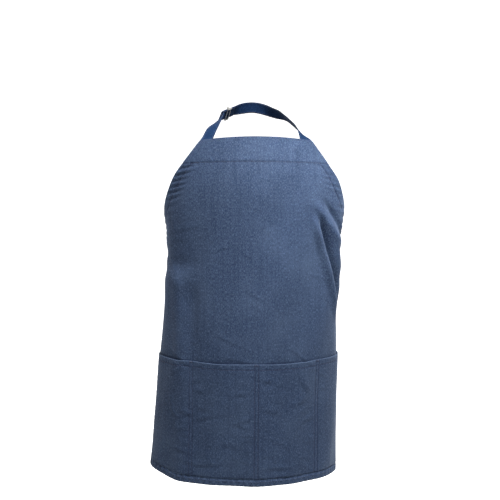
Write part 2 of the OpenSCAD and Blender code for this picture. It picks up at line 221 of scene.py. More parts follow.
# Longer slack folds in the pockets
CREASES += [(0.118, 0.560, 1.0, 0.022, 0.0014, 0.0066), (0.098, 0.598, -0.5, 0.018, 0.0011, 0.0060),
            (0.126, 0.640, -0.3, 0.016, 0.0009, 0.0056), (0.035, 0.612, 0.3, 0.018, 0.0008, 0.0060),
            (-0.125, 0.572, -0.9, 0.018, 0.0008, 0.0060), (-0.060, 0.690, 0.2, 0.022, 0.0006, 0.0060),
            (0.050, 0.745, 0.05, 0.028, 0.0009, 0.0048), (-0.110, 0.738, -0.1, 0.024, 0.0008, 0.0048)]


def pucker_wave(x):
    """Rounded ridges with sharp creases between them."""
    return 1 - 2 * np.abs(np.cos(np.pi * x)) ** 3


def puckers(u, v):
    """Roping of the hems and the pull of each row of stitches."""
    inset = edge_u(v) - np.abs(u)
    above = 1 - ease(v, ARMHOLE_DROP - 0.004, ARMHOLE_DROP + 0.004)
    from_edge = inset * 0.83
    along = 1.1 * v + 0.30 * inset + 0.0060 * np.sin(v * 53 + 14 * inset)
    rope = ease(from_edge, 0, 0.005) * (1 - ease(from_edge, 0.018, 0.050)) * above
    rope = rope * ease(v, TOP_HEM - 0.014, TOP_HEM + 0.012)
    uneven = 0.62 + 0.38 * np.sin(v * 83 + np.where(u < 0, 0.4, 2.6)) * np.sin(v * 31 + 25 * inset)
    fade = np.where(u < 0, 0.0017 * (1 - 0.5 * ease(v, 0.17, 0.25)), 0.0007 + 0.0002 * ease(v, 0.06, 0.12))
    d = rope * fade * uneven * pucker_wave(along / 0.0190)
    line = bump(inset, ARMHOLE_HEM - ROW_INSET, 0.0022) * above * ease(v, TOP_HEM - 0.009, TOP_HEM - 0.001)
    line += bump(inset, SIDE_HEM - ROW_INSET, 0.0020) * (1 - above)
    top = bump(v, TOP_HEM - ROW_INSET, 0.0018)
    low = bump(v, HEM_ROW, 0.0018)
    d -= 0.0009 * (line + 0.7 * top + 0.25 * low)
    gather = (1 + 0.6 * np.sin(v * 190)) * np.sin(2 * np.pi * v / 0.0125)
    d += 0.0003 * gather * bump(inset, SIDE_HEM - ROW_INSET, 0.009) * (1 - above)
    d += 0.0005 * np.sin(2 * np.pi * u / 0.0145 + 2 * np.sin(u * 40)) * bump(v, TOP_HEM + 0.001, 0.009)
    d += 0.0008 * np.sin(2 * np.pi * u / 0.0150 + 2 * np.sin(u * 27)) * bump(v, HEM_ROW, 0.010)
    d += 0.0005 * (1 - ease(v, TOP_HEM - ROW_INSET, TOP_HEM - 0.001))
    d += 0.0013 * ease(v, POCKET_BOTTOM - 0.0002, POCKET_BOTTOM + 0.0012)
    return d


def seam_wear_and_painted_light(u, v):
    """Where the cloth is paler, above 0, and darker, below 0: edges rubbed pale with a painted highlight on
    their folds, rows of stitches dark with kept dye and painted shade in their grooves, a painted shadow
    behind the pockets' mouths, painted shade in a crease at the hems' inner corners, and a darker top edge.
    """
    inset = edge_u(v) - np.abs(u)
    above = v < ARMHOLE_DROP
    # Darker along the rows of stitches: the dye kept in the seams, with painted shade in their grooves
    dark = bump(inset, ARMHOLE_HEM - ROW_INSET, 0.0016) * above * ease(v, TOP_HEM - 0.007, TOP_HEM - 0.001)
    dark = dark + bump(inset, SIDE_HEM - ROW_INSET, 0.0014) * ~above
    dark = np.maximum(dark, 0.7 * bump(v, TOP_HEM - ROW_INSET, 0.0011))
    dark = np.maximum(dark, 0.15 * bump(v, HEM_ROW, 0.0010))
    # Painted shadow on the cloth behind the pockets' mouths
    dark = np.maximum(dark, 0.75 * bump(v, POCKET_V + 0.0004, 0.0022))
    # Painted shade in a short diagonal crease at the inner corner where the top hem meets each armhole hem
    over = np.abs(u) - float(edge_u(TOP_HEM)) + ARMHOLE_HEM
    under = v - TOP_HEM
    dark = np.maximum(dark, 0.8 * bump(over - under, 0, 0.0020) * bump(over + under, 0, 0.008))
    # Darker along the top edge
    dark = np.maximum(dark, 0.55 * bump(v, 0, 0.0022))
    # Paler along the armhole, side and bottom edges: rubbed pale, with a painted highlight on their folds
    pale = np.maximum(bump(inset, 0, 0.0022) * ease(v, 0.004, 0.010), bump(v, LENGTH, 0.0024))
    return pale * 0.28 - dark * 0.8


def surface(u, v):
    """The draped cloth's inner face."""
    point, out = worn(u, v)
    d = drag_folds(u, v) + corner_pulls(u, v) + hang(u, v) + puckers(u, v) + ripple(u, v, 0.0006)
    point = point + out * d[..., None]
    lift = 0.016 * ease(-u, 0.17, 0.305) - 0.002 * ease(u, 0.20, 0.305)
    point[..., 2] += lift * ease(v, 0.58, LENGTH)
    return point


# Distance over which a shape's slope is measured
STEP = 0.0004


def true_normals(points_of):
    """A place function: points_of's points, and the outward directions of the shape that they make."""
    def where(u, v):
        u, v = np.broadcast_arrays(np.asarray(u, float), np.asarray(v, float))
        across = points_of(u + STEP, v) - points_of(u - STEP, v)
        down = points_of(u, v + STEP) - points_of(u, v - STEP)
        out = np.cross(down, across)
        return points_of(u, v), out / np.linalg.norm(out, axis=-1, keepdims=True)
    return where


cloth = true_normals(surface)


# ---- Mesh building ----

def make_object(name, verts, faces, uv=None, sharp=None, points=None):
    """A smooth mesh; edges between two sharp points stay hard, and points holds values for the material."""
    mesh = bpy.data.meshes.new(name)
    mesh.from_pydata(verts.tolist() if hasattr(verts, "tolist") else verts, [], faces)
    mesh.validate()
    mesh.polygons.foreach_set("use_smooth", np.ones(len(mesh.polygons), bool))
    if uv is not None:
        layer = mesh.uv_layers.new(name="cloth")
        index = np.empty(len(mesh.loops), int)
        mesh.loops.foreach_get("vertex_index", index)
        layer.data.foreach_set("uv", np.asarray(uv, float)[index].ravel())
    if sharp is not None:
        ends = np.empty(len(mesh.edges) * 2, int)
        mesh.edges.foreach_get("vertices", ends)
        hard = sharp[ends.reshape(-1, 2)].all(1)
        mesh.attributes.new("sharp_edge", "BOOLEAN", "EDGE").data.foreach_set("value", hard)
    for key, value in (points or {}).items():
        mesh.attributes.new(key, "FLOAT", "POINT").data.foreach_set("value", np.asarray(value, float))
    obj = bpy.data.objects.new(name, mesh)
    bpy.context.scene.collection.objects.link(obj)
    return obj


def slab(name, where, U, V, n0, n1, cut_ends=(), wear=None, reverse=False):
    """A closed sheet with rounded edges.

    where(u, v) gives points and outward directions; U and V are grids, n0 and n1 distances outward.
    cut_ends names the first or last column where the sheet is cut square, to meet its neighbour.
    reverse marks the inner face as the wrong side of the cloth, which is paler.
    """
    rows, cols = U.shape
    n0 = np.broadcast_to(n0, U.shape)
    n1 = np.broadcast_to(n1, U.shape)
    inset = 0.35 * float(np.mean(n1 - n0))
    Ui, Vi = U.copy(), V.copy()
    if "first" not in cut_ends:
        Ui[:, 0] += inset
    if "last" not in cut_ends:
        Ui[:, -1] -= inset
    Vi[0] += inset
    Vi[-1] -= inset
    point, out = where(Ui, Vi)
    outer = point + out * n1[..., None]
    inner = point + out * n0[..., None]
    ring = ([(0, i) for i in range(cols)] + [(j, cols - 1) for j in range(1, rows)]
            + [(rows - 1, i) for i in range(cols - 2, -1, -1)] + [(j, 0) for j in range(rows - 2, 0, -1)])
    rj = np.array([r[0] for r in ring])
    ri = np.array([r[1] for r in ring])
    edge_point, edge_out = where(U[rj, ri], V[rj, ri])
    middle = edge_point + edge_out * ((n0 + n1) / 2)[rj, ri][:, None]
    size = rows * cols
    verts = np.concatenate([outer.reshape(-1, 3), inner.reshape(-1, 3), middle])
    flat_uv = np.stack([Ui.ravel(), -Vi.ravel()], -1)
    uv = np.concatenate([flat_uv, flat_uv, np.stack([U[rj, ri], -V[rj, ri]], -1)])
    index = np.arange(size).reshape(rows, cols)
    tl, tr = index[:-1, :-1], index[:-1, 1:]
    bl, br = index[1:, :-1], index[1:, 1:]
    faces = np.stack([tl, bl, br, tr], -1).reshape(-1, 4).tolist()
    faces += (np.stack([tl, tr, br, bl], -1).reshape(-1, 4) + size).tolist()
    loop = index[rj, ri]
    count = len(ring)
    for k in range(count):
        m = (k + 1) % count
        faces.append([int(loop[k]), int(loop[m]), 2 * size + m, 2 * size + k])
        faces.append([2 * size + k, 2 * size + m, int(loop[m]) + size, int(loop[k]) + size])
    sharp = None
    if cut_ends:
        sharp = np.zeros(len(verts), bool)
        for end, column in (("first", 0), ("last", cols - 1)):
            if end in cut_ends:
                sharp[index[:, column]] = True
                sharp[index[:, column] + size] = True
                sharp[2 * size + np.nonzero(ri == column)[0]] = True
    points = {}
    # wear gives paler and darker marks on the outer face and the edges: real wear, with painted highlight,
    # painted shade and painted shadow mixed in
    if wear is not None:
        points["wear"] = np.concatenate([wear(U, V).ravel(), 0 * U.ravel(), wear(U[rj, ri], V[rj, ri])])
    if reverse:
        points["reverse"] = np.concatenate([0 * U.ravel(), 1 + 0 * U.ravel(), 0.5 + 0 * U[rj, ri]])
    return make_object(name, verts, faces, uv, sharp, points)


def spread(lo, hi, pitch):
    """Evenly spaced values from lo to hi, no further apart than pitch."""
    return np.linspace(lo, hi, max(2, int(math.ceil(abs(hi - lo) / pitch)) + 1))


PITCH = 0.003 if FINE else 0.006


def near(values, *seams):
    """Adds close rows at each seam to a list of rows."""
    extra = [s + d for s in seams for d in (-0.0026, -0.0013, 0, 0.0013, 0.0026)]
    keep = [v for v in values if all(abs(v - e) > 0.0005 for e in extra)]
    return np.array(sorted(keep + [e for e in extra if values[0] < e < values[-1]]))


def strip_grid(lo, hi, vs, pitch=PITCH):
    """A grid between lo(v) and hi(v), with a row at each of vs."""
    widest = max(float(hi(v) - lo(v)) for v in (vs[0], vs[len(vs) // 2], vs[-1]))
    s = np.linspace(0, 1, max(3, int(widest / pitch) + 1))
    lows = np.array([float(lo(v)) for v in vs])[:, None]
    highs = np.array([float(hi(v)) for v in vs])[:, None]
    return lows + (highs - lows) * s[None], np.repeat(np.asarray(vs)[:, None], len(s), 1)


# ---- Materials ----

class Nodes:
    """A material's node tree, built by short calls."""

    def __init__(self, name):
        self.material = bpy.data.materials.new(name)
        self.material.use_nodes = True
        self.tree = self.material.node_tree
        self.shader = self.tree.nodes["Principled BSDF"]

    def add(self, kind, inputs=None, **settings):
        node = self.tree.nodes.new(kind)
        for key, value in settings.items():
            setattr(node, key, value)
        for key, value in (inputs or {}).items():
            if isinstance(value, bpy.types.NodeSocket):
                self.tree.links.new(value, node.inputs[key])
            else:
                node.inputs[key].default_value = value
        return node

    def stretch(self, coords, x, y, z=1.0):
        return self.add("ShaderNodeMapping", {0: coords, "Scale": (x, y, z)}).outputs[0]

    def noise(self, coords, scale, detail=2.0, rough=0.5):
        return self.add("ShaderNodeTexNoise", {"Vector": coords, "Scale": scale, "Detail": detail,
                                               "Roughness": rough}).outputs[0]

    def spread(self, value, low, high):
        return self.add("ShaderNodeMapRange", {0: value, 1: low, 2: high}).outputs[0]

    def maths(self, operation, a, b):
        return self.add("ShaderNodeMath", {0: a, 1: b}, operation=operation).outputs[0]

    def blend(self, factor, a, b):
        node = self.add("ShaderNodeMix", data_type="RGBA")
        for socket, value in ((0, factor), (6, a), (7, b)):
            if isinstance(value, bpy.types.NodeSocket):
                self.tree.links.new(value, node.inputs[socket])
            else:
                node.inputs[socket].default_value = value
        return node.outputs[2]

    def link(self, value, socket):
        self.tree.links.new(value, self.shader.inputs[socket])

    def bump(self, height, distance, strength=1.0, normal=None):
        inputs = {"Height": height, "Distance": distance, "Strength": strength}
        if normal is not None:
            inputs["Normal"] = normal
        return self.add("ShaderNodeBump", inputs).outputs[0]


def denim(name, dark, light, pale, gloss=0.2, sheen=0.10):
    """Washed chambray twill: slubs along the warp, flecks, a fine diagonal weave and slow fading."""
    n = Nodes(name)
    uv = n.add("ShaderNodeUVMap", uv_map="cloth").outputs[0]
    slub = n.noise(n.stretch(uv, 720, 95), 1.0, 3.0, 0.65)
    fleck = n.noise(n.stretch(uv, 760, 210), 1.0, 3.0, 0.65)
    cross = n.noise(n.stretch(uv, 150, 700), 1.0, 2.0, 0.5)
    speck = n.noise(n.stretch(uv, 900, 620), 1.0, 2.0, 0.6)
    streak = n.noise(n.stretch(uv, 230, 9), 1.0, 2.0, 0.5)
    cloud = n.noise(uv, 9.0, 3.0, 0.55)
    slant = n.add("ShaderNodeMapping", {0: uv, "Rotation": (0, 0, 1.05)}).outputs[0]
    lines = {"Vector": slant, "Scale": 220.0, "Distortion": 0.6, "Detail": 1.0, "Detail Scale": 2.0}
    twill = n.add("ShaderNodeTexWave", lines, wave_type="BANDS", bands_direction="X").outputs[1]
    tone = n.blend(n.spread(slub, 0.42, 0.58), dark, light)
    tone = n.blend(n.maths("MULTIPLY", n.spread(fleck, 0.51, 0.64), 0.70), tone, pale)
    tone = n.blend(n.maths("MULTIPLY", n.spread(fleck, 0.50, 0.38), 0.90), tone, dark)
    tone = n.blend(n.maths("MULTIPLY", n.spread(cross, 0.52, 0.72), 0.35), tone, pale)
    tone = n.blend(n.maths("MULTIPLY", n.spread(speck, 0.54, 0.72), 0.42), tone, pale)
    tone = n.blend(n.maths("MULTIPLY", n.spread(twill, 0.35, 1.0), 0.12), tone, pale)
    tone = n.blend(n.maths("MULTIPLY", n.spread(streak, 0.46, 0.70), 0.36), tone, dark)
    tone = n.blend(n.maths("MULTIPLY", n.spread(cloud, 0.45, 0.75), 0.20), tone, pale)
    back = n.add("ShaderNodeAttribute", attribute_name="reverse").outputs["Fac"]
    tone = n.blend(n.maths("MULTIPLY", back, 0.38), tone, pale)
    # The wear attribute mixes real wear with painted light: above 0 paler, for rubbed edges and painted
    # highlights, below 0 darker, for dye kept in seams, painted shade and painted shadow
    wear = n.add("ShaderNodeAttribute", attribute_name="wear").outputs["Fac"]
    tone = n.blend(n.spread(wear, 0, 1.0), tone, pale)
    tone = n.blend(n.spread(wear, 0, -1.0), tone, [c * k for c, k in zip(dark, (0.35, 0.45, 0.75, 1))])
    n.link(tone, "Base Color")
    rough = n.add("ShaderNodeMapRange", {0: slub, 1: 0.3, 2: 0.7, 3: 0.78, 4: 0.92}).outputs[0]
    n.link(rough, "Roughness")
    n.shader.inputs["Specular IOR Level"].default_value = gloss
    n.shader.inputs["Sheen Weight"].default_value = sheen
    n.shader.inputs["Sheen Roughness"].default_value = 0.45
    n.shader.inputs["Sheen Tint"].default_value = (0.55, 0.68, 0.90, 1)
    fine = n.bump(n.maths("ADD", n.maths("MULTIPLY", twill, 0.6), slub), 0.00030, 0.6)
    coarse = n.maths("ADD", n.noise(n.stretch(uv, 60, 45), 1.0, 3.0, 0.6), n.maths("MULTIPLY", fleck, 0.35))
    n.link(n.bump(coarse, 0.0014, 0.45, fine), "Normal")
    return n.material


def thread(name, dark, light):
    """Twisted sewing thread."""
    n = Nodes(name)
    coords = n.add("ShaderNodeTexCoord").outputs["Object"]
    twist = n.add("ShaderNodeTexWave", {"Vector": coords, "Scale": 900.0, "Distortion": 1.0},
                  bands_direction="DIAGONAL").outputs[1]
    n.link(n.blend(n.spread(n.noise(coords, 260.0, 2.0), 0.35, 0.65), dark, light), "Base Color")
    n.link(n.bump(twist, 0.0001, 0.6), "Normal")
    n.shader.inputs["Roughness"].default_value = 0.62
    n.shader.inputs["Sheen Weight"].default_value = 0.15
    return n.material


def plated_metal(name):
    """Nickel plate, worn dull in places."""
    n = Nodes(name)
    coords = n.add("ShaderNodeTexCoord").outputs["Object"]
    wear = n.spread(n.noise(coords, 420.0, 4.0, 0.6), 0.42, 0.62)
    n.link(n.blend(wear, (0.50, 0.50, 0.48, 1), (0.34, 0.34, 0.33, 1)), "Base Color")
    n.link(n.add("ShaderNodeMapRange", {0: wear, 3: 0.26, 4: 0.42}).outputs[0], "Roughness")
    n.link(n.bump(n.noise(n.stretch(coords, 1, 1, 8), 300.0, 3.0), 0.00005, 0.4), "Normal")
    n.shader.inputs["Metallic"].default_value = 1.0
    return n.material


DENIM = denim("denim", (0.0056, 0.0142, 0.042, 1), (0.0180, 0.0355, 0.080, 1), (0.078, 0.115, 0.184, 1))
STRAP_DENIM = denim("strap_denim", (0.0012, 0.0056, 0.023, 1), (0.0034, 0.0135, 0.044, 1),
                    (0.014, 0.037, 0.084, 1), gloss=0.05, sheen=0.02)
THREAD = thread("thread", (0.006, 0.014, 0.045, 1), (0.015, 0.031, 0.085, 1))
METAL = plated_metal("slider_metal")


def dress(obj, material):
    """Gives a piece its only material."""
    obj.data.materials.clear()
    obj.data.materials.append(material)
    return obj


# ---- Camera: at the height of the neck, a little to the left, looking down ----

CAM_DISTANCE = 2.933
CAM_YAW = math.radians(5.0)
CAM_PITCH = math.radians(7.0)
CAM_ROLL = math.radians(0.45)
CAM_Z = 0.0495
AIM_X = -0.0160


def add_camera():
    """A long lens, so that the front looks as flat as from across a room."""
    data = bpy.data.cameras.new("camera")
    data.lens = 96
    data.sensor_width = 36
    camera = bpy.data.objects.new("camera", data)
    bpy.context.scene.collection.objects.link(camera)
    camera.location = (AIM_X - math.sin(CAM_YAW) * CAM_DISTANCE,
                       CHEST_Y - math.cos(CAM_YAW) * CAM_DISTANCE, CAM_Z)
    turn = Matrix.Rotation(-CAM_YAW, 4, "Z") @ Matrix.Rotation(math.pi / 2 - CAM_PITCH, 4, "X")
    camera.rotation_euler = (turn @ Matrix.Rotation(CAM_ROLL, 4, "Z")).to_euler()
    bpy.context.scene.camera = camera


# ---- Main cloth ----

def across_waist(obj):
    """Bakes the placement of a piece that spans the waist, from the bib to the skirt, into its mesh."""
    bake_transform(obj)


def settle(obj, name, body):
    """A piece takes the place of the CAD node of that name, and rides on body, or has its placement baked in
    for the waist.
    """
    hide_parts(name)
    if body == "waist":
        across_waist(obj)
    else:
        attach(obj, body)


def main_cloth(hem_pieces):
    """One unbroken cloth from the bib's top to the skirt's hem, with close rows along its seams."""
    vs = np.concatenate([spread(0, ARMHOLE_DROP, PITCH), spread(ARMHOLE_DROP, LENGTH, PITCH)[1:]])
    vs = near(vs, TOP_HEM - ROW_INSET, POCKET_BOTTOM + 0.0013, LENGTH - 0.0095)
    insets = near(spread(0, 0.034, 0.0021), ARMHOLE_HEM - ROW_INSET, SIDE_HEM - ROW_INSET)
    edge = edge_u(vs)[:, None]
    free = np.linspace(-1, 1, int(2 * HALF_W / PITCH))[None, 1:-1] * (edge - insets[-1])
    U = np.concatenate([insets[None] - edge, free, edge - insets[None, ::-1]], 1)
    V = np.repeat(vs[:, None], U.shape[1], 1)
    obj = slab("main_cloth", cloth, U, V, 0, CLOTH_T, wear=seam_wear_and_painted_light, reverse=True)
    dress(obj, DENIM)
    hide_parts("bib_panel", "skirt_panel")
    across_waist(obj)


# ---- Hems: the cloth's folded edges, on its back ----

HEM_N = (-HEM_T, 0.0003)


def hem_piece(name, lo, hi, vs, body):
    """A strip of folded cloth between lo(v) and hi(v), with a row at each of vs."""
    U, V = strip_grid(lo, hi, vs)
    obj = slab(name, cloth, U, V, *HEM_N)
    dress(obj, DENIM)
    settle(obj, name, body)
    return obj


def edge_lines(side, width):
    """The two long edges of a strip of that width along one edge of the cloth."""
    def at(inset):
        return lambda v: side * (edge_u(v) - inset)
    return (at(0), at(width)) if side < 0 else (at(width), at(0))


def hems():
    """The six hems, as a list of pieces."""
    lip = 0.0001
    vs = spread(0, TOP_HEM, PITCH)
    made = [hem_piece("bib_top_hem", lambda v: lip - edge_u(v), lambda v: edge_u(v) - lip, vs, "bib")]
    for side, word in ((-1, "left"), (1, "right")):
        lo, hi = edge_lines(side, ARMHOLE_HEM)
        vs = spread(TOP_HEM - 0.002, ARMHOLE_DROP, PITCH)
        made.append(hem_piece("armhole_hem_" + word, lo, hi, vs, "bib"))
        lo, hi = edge_lines(side, SIDE_HEM)
        vs = spread(ARMHOLE_DROP - 0.001, LENGTH, PITCH)
        made.append(hem_piece("side_hem_" + word, lo, hi, vs, "waist"))
    reach = HALF_W - SIDE_HEM + 0.002
    vs = spread(LENGTH - BOTTOM_HEM, LENGTH, PITCH / 2)
    made.append(hem_piece("bottom_hem", lambda v: -reach, lambda v: reach, vs, "skirt"))
    return made


# ---- Pocket band ----

PLACES = ("outer_left", "inner_left", "inner_right", "outer_right")
BAND_N = CLOTH_T + 0.0003
# Height of the band over its rows of stitches
FLUSH = 0.0005
BULGE = (0.0045, 0.0058, 0.0062, 0.0022)


def pocket_span(k):
    """Where a pocket starts and ends across the cloth, between its sewn strips."""
    left = SIDE_HEM if k == 0 else DIVIDER_W / 2
    right = SIDE_HEM if k == 3 else DIVIDER_W / 2
    return -HALF_W + k * POCKET_W + left, -HALF_W + (k + 1) * POCKET_W - right


def pocket_shape(k):
    """A pocket's front: sewn down at its sides and foot, and slack towards its mouth."""
    lo, hi = pocket_span(k)

    def points_of(u, v):
        s = ramp(u, lo, hi)
        t = ramp(v, POCKET_V, POCKET_BOTTOM)
        gape = BULGE[k] * np.sin(np.pi * s) ** 1.1 * (1 - t) ** 1.3
        slack = 0.0011 * np.sin(np.pi * s) * np.sin(2 * np.pi * (1.6 * s + 0.35 * k) + 5 * t) * (1 - 0.4 * t)
        stitch_pull = -0.0004 * bump(v, MOUTH_ROW, 0.0016)
        rope = 0.00035 * np.sin(2 * np.pi * u / 0.0118 + 2 * np.sin(33 * u))
        rope = rope * bump(v, MOUTH_ROW - 0.002, 0.008)
        dip = -0.0010 * np.sin(np.pi * s) * bump(t, 0, 0.1)
        point, out = cloth(u, v)
        held = ease(s, 0, 0.10) * (1 - ease(s, 0.90, 1.0))
        out_by = BAND_N + FLUSH + gape + slack * np.sin(np.pi * s) + stitch_pull + rope * held
        point = point + out * out_by[..., None]
        point[..., 2] += dip
        return point
    return points_of


def band_wear_and_painted_light(u, v):
    """The band's mouth, rubbed pale with a painted highlight on its folded edge, and its rows of stitches,
    dark with kept dye and painted shade in their grooves.
    """
    # Paler along the mouth: rubbed pale, with a painted highlight on its folded edge
    pale = bump(v, POCKET_V, 0.0024)
    # Darker along the rows of stitches: kept dye, with painted shade in their grooves
    dark = bump(v, MOUTH_ROW, 0.0013)
    for row in DIVIDER_ROWS:
        dark = np.maximum(dark, bump(u, row, 0.0013))
    return 0.3 * pale - 0.85 * dark


def pocket_halves(k):
    """The two halves of a pocket, each from its sewn edge on the skirt to the pocket's middle."""
    lo, hi = pocket_span(k)
    return (("a", lo, (lo + hi) / 2), ("b", (lo + hi) / 2, hi))


def pocket_blend(obj, k, half):
    """Bakes a half's placement into its mesh; the points it finds at the half's sewn side and at the pocket's
    middle, on the skirt, are not used.
    """
    lo, hi = pocket_span(k)
    seam = lo if half == "a" else hi
    middle_v = (POCKET_V + POCKET_BOTTOM) / 2
    ends = [Vector(worn(np.array(u), np.array(middle_v))[0]) for u in (seam, (lo + hi) / 2)]
    for e in ends:
        e.z = 0
    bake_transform(obj)


def pocket(k):
    """A pocket's front, in two halves; the hem along its mouth is a second thickness behind it."""
    where = true_normals(pocket_shape(k))
    turned = POCKET_V + MOUTH_HEM
    for half, lo, hi in pocket_halves(k):
        vs = np.concatenate([near(spread(POCKET_V, turned, PITCH / 2), MOUTH_ROW), [turned + 0.0003],
                             spread(turned, POCKET_BOTTOM, PITCH)[1:]])
        U, V = strip_grid(lambda v: lo, lambda v: hi, vs)
        n0 = np.where(V < turned + 0.0001, -CLOTH_T, 0.0)
        obj = slab("pocket_%s_%s" % (PLACES[k], half), where, U, V, n0, CLOTH_T, ("first", "last"), band_wear_and_painted_light)
        dress(obj, DENIM)
        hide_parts("pocket_" + PLACES[k], "mouth_hem_" + PLACES[k])
        pocket_blend(obj, k, half)


def divider_shape(u, v):
    """The band where it is sewn down: pulled in along its rows of stitches."""
    point, out = cloth(u, v)
    rows = np.zeros(np.broadcast(u, v).shape)
    for row in DIVIDER_ROWS:
        rows += bump(u, row, 0.0009)
    for row in END_ROWS:
        rows += bump(u, row, 0.0010)
    gather = 0.00022 * np.sin(2 * np.pi * v / 0.0095 + 1.5 * np.sin(v * 60)) * np.minimum(1, rows)
    return point + out * (BAND_N + FLUSH - 0.00075 * rows + gather)[..., None]


sewn_band = true_normals(divider_shape)


def band_strips():
    """The band's parts that stay sewn to the skirt: under the double rows, and at its two ends."""
    names = ("divider_left", "divider_centre", "divider_right")
    spans = [(name, u - DIVIDER_W / 2, u + DIVIDER_W / 2) for name, u in zip(names, DIVIDERS)]
    spans += [("pocket_edge_left", -HALF_W + 0.0004, -HALF_W + SIDE_HEM),
              ("pocket_edge_right", HALF_W - SIDE_HEM, HALF_W - 0.0004)]
    for name, lo, hi in spans:
        U, V = strip_grid(lambda v: lo, lambda v: hi, spread(POCKET_V, POCKET_BOTTOM, PITCH), PITCH / 4)
        obj = slab(name, sewn_band, U, V, 0, CLOTH_T, ("first", "last"), band_wear_and_painted_light)
        dress(obj, DENIM)
        settle(obj, name, "skirt")


# ---- Stitches: each one a short bent thread ----

STITCH_PITCH = 0.0032
STITCH_L = 0.0025


def stitches(name, lines):
    """lines: (where, u(t), v(t), length, distance outward) for each row, t from 0 to 1 along it."""
    verts, faces = [], []
    sides, width, height = 6, 0.00044, 0.00034
    turns = np.linspace(0, 2 * np.pi, sides, endpoint=False)
    profile = [(0.0, 0.35, -0.6), (0.2, 0.9, 0.0), (0.5, 1.0, 0.35), (0.8, 0.9, 0.0), (1.0, 0.35, -0.6)]
    for where, u_of, v_of, length, out_by in lines:
        count = max(1, int(length / STITCH_PITCH))
        start = np.arange(count) / count
        t = start[:, None] + np.array([p[0] for p in profile])[None] * (STITCH_L / STITCH_PITCH / count)
        point, out = where(u_of(t), v_of(t))
        along = point[:, -1] - point[:, 0]
        along = (along / np.linalg.norm(along, axis=-1, keepdims=True))[:, None]
        face = math.copysign(1, out_by)
        side = np.cross(along, out)
        lift = np.array([p[2] for p in profile])[None, :, None] * height
        fat = np.array([p[1] for p in profile])[None, :, None]
        centre = point + out * (out_by + face * lift)
        for c in range(count):
            base = len(verts)
            for r in range(len(profile)):
                for a in turns:
                    verts.append(centre[c, r] + fat[0, r] * (math.cos(a) * width * side[c, r]
                                                            + math.sin(a) * height * out[c, r]))
            for r in range(len(profile) - 1):
                for s in range(sides):
                    a, b = base + r * sides + s, base + r * sides + (s + 1) % sides
                    faces.append([a, b, b + sides, a + sides])
            faces.append([base + s for s in range(sides)][::-1])
            faces.append([base + (len(profile) - 1) * sides + s for s in range(sides)])
    return dress(make_object(name, np.array(verts), faces), THREAD)


def constant(value):
    """A row's coordinate that stays the same."""
    return lambda t: np.full(np.shape(t), value, float)


def between(a, b):
    """A row's coordinate that runs from a to b."""
    return lambda t: a + (b - a) * t


# How far out the rows lie on the front, and on the hems' back
FRONT_N = CLOTH_T + 0.0001
BACK_N = -HEM_T - 0.0001


def stitch_rows():
    """Every row of stitches but the straps' own; a hem's row shows on the front and on the back."""
    v = TOP_HEM - ROW_INSET
    reach = float(edge_u(v)) - ARMHOLE_HEM + ROW_INSET
    rows = [(cloth, between(-reach, reach), constant(v), 2 * reach, n) for n in (FRONT_N, BACK_N)]
    settle(stitches("bib_hem_stitching", rows), "bib_hem_stitching", "bib")
    for side, word in ((-1, "left"), (1, "right")):
        down = between(TOP_HEM - ROW_INSET, ARMHOLE_DROP)

        def across(t):
            return side * (edge_u(down(t)) - ARMHOLE_HEM + ROW_INSET)
        rows = [(cloth, across, down, 0.27, n) for n in (FRONT_N, BACK_N)]
        settle(stitches("armhole_stitching_" + word, rows), "armhole_stitching_" + word, "bib")
        u = constant(side * (HALF_W - SIDE_HEM + ROW_INSET))
        top = ARMHOLE_DROP + 0.004
        rows = [(cloth, u, between(top, POCKET_V - 0.001), 0.25, FRONT_N),
                (cloth, u, between(top, LENGTH - 0.014), 0.5, BACK_N)]
        settle(stitches("side_stitching_" + word, rows), "side_stitching_" + word, "waist")
    across = between(-HALF_W + 0.002, HALF_W - 0.002)
    rows = [(cloth, across, constant(HEM_ROW), 0.606, n) for n in (FRONT_N, BACK_N)]
    settle(stitches("hem_stitching", rows), "hem_stitching", "skirt")
    divider_rows()
    mouth_rows()


def divider_rows():
    """The double rows that divide the band, its end rows, and a bartack across the top of each double row."""
    down = between(POCKET_V + 0.002, POCKET_BOTTOM - 0.001)
    rows = []
    for row in DIVIDER_ROWS:
        rows.append((sewn_band, constant(row), down, 0.25, FRONT_N))
        rows.append((cloth, constant(row), down, 0.25, -0.0001))
    rows += [(sewn_band, constant(row), down, 0.25, FRONT_N) for row in END_ROWS]
    settle(stitches("divider_stitching", rows), "divider_stitching", "skirt")
    tacks = []
    for middle in DIVIDERS:
        across = between(middle - ROW_OFFSET, middle + ROW_OFFSET)
        for k in range(5):
            v = POCKET_V + 0.0010 + 0.00055 * k
            tacks.append((sewn_band, across, constant(v), 0.008, FRONT_N + 0.0002))
    settle(stitches("pocket_bartacks", tacks), "pocket_bartacks", "skirt")


def mouth_rows():
    """The row along each pocket's mouth, in halves that are placed as the pocket's halves are."""
    for k, word in enumerate(PLACES):
        where = true_normals(pocket_shape(k))
        for half, lo, hi in pocket_halves(k):
            rows = [(where, between(lo + 0.0004, hi - 0.0004), constant(MOUTH_ROW), hi - lo, n)
                    for n in (FRONT_N, -0.0010)]
            obj = stitches("mouth_stitch_%s_%s" % (word, half), rows)
            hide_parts("mouth_stitch_" + word)
            pocket_blend(obj, k, half)


# ---- Ribbons: neck strap, ties and bow ----

def unit(a):
    """Vectors scaled to length 1."""
    return a / np.linalg.norm(a, axis=-1, keepdims=True)


